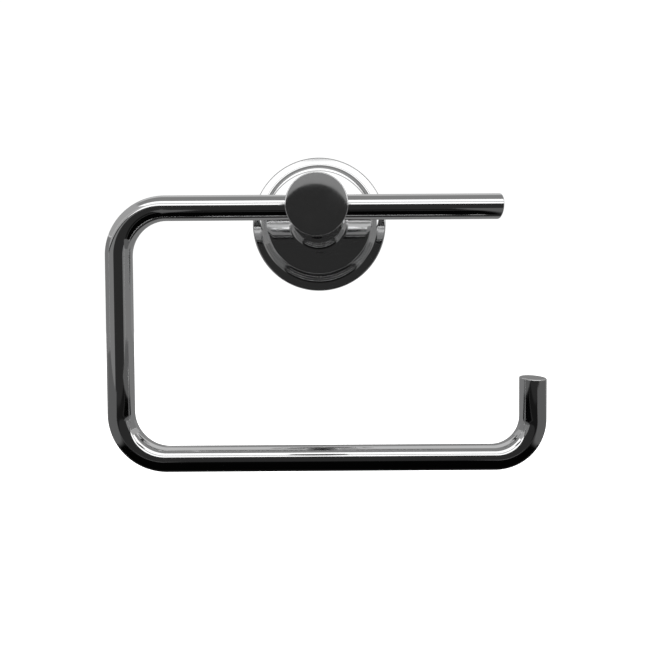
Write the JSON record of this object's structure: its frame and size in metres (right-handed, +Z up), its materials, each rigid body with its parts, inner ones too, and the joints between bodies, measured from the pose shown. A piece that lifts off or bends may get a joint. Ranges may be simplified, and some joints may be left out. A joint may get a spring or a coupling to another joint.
{
  "type": "toilet paper holder",
  "caption": "Wall-mounted toilet paper holder in polished chrome: a bent round bar, open on the right, swings in a round post on a stepped round rosette.",
  "frame": {"origin": "on the wall plane, on the axis of the post and rosette", "axes": "+Z up; -Y out of the wall towards the room, along the post; +X to the right seen from the room, along the bar's runs"},
  "size_m": [0.1758, 0.0844, 0.1391],
  "materials": {
    "polished_chrome": "polished chrome plate on brass",
    "zinc_plate": "zinc-plated steel",
    "stainless_steel": "turned stainless steel",
    "black_steel": "black oxide on alloy steel",
    "nitrile_rubber": "moulded nitrile",
    "grey_nylon": "moulded nylon"
  },
  "bodies": {
    "post": {"wall_bracket": "zinc_plate", "wall_screw_upper": "stainless_steel", "wall_screw_lower": "stainless_steel", "wall_plug_upper": "grey_nylon", "wall_plug_lower": "grey_nylon", "wall_rosette": "polished_chrome", "rosette_set_screw": "stainless_steel", "bar_head": "polished_chrome", "locating_pin": "stainless_steel", "head_bolt": "black_steel", "lock_washer": "stainless_steel", "flat_washer": "stainless_steel", "bar_retaining_screw": "stainless_steel", "bar_ring_left": "nitrile_rubber", "bar_ring_right": "nitrile_rubber"},
    "bar": {"roll_bar": "polished_chrome"}
  },
  "joints": [
    {"name": "bar_swing", "type": "hinge", "parent": "post", "child": "bar", "pos_m": [0, -0.0473, 0], "axis": [-1, 0, 0], "range_deg": [-24, 90]}
  ]
}
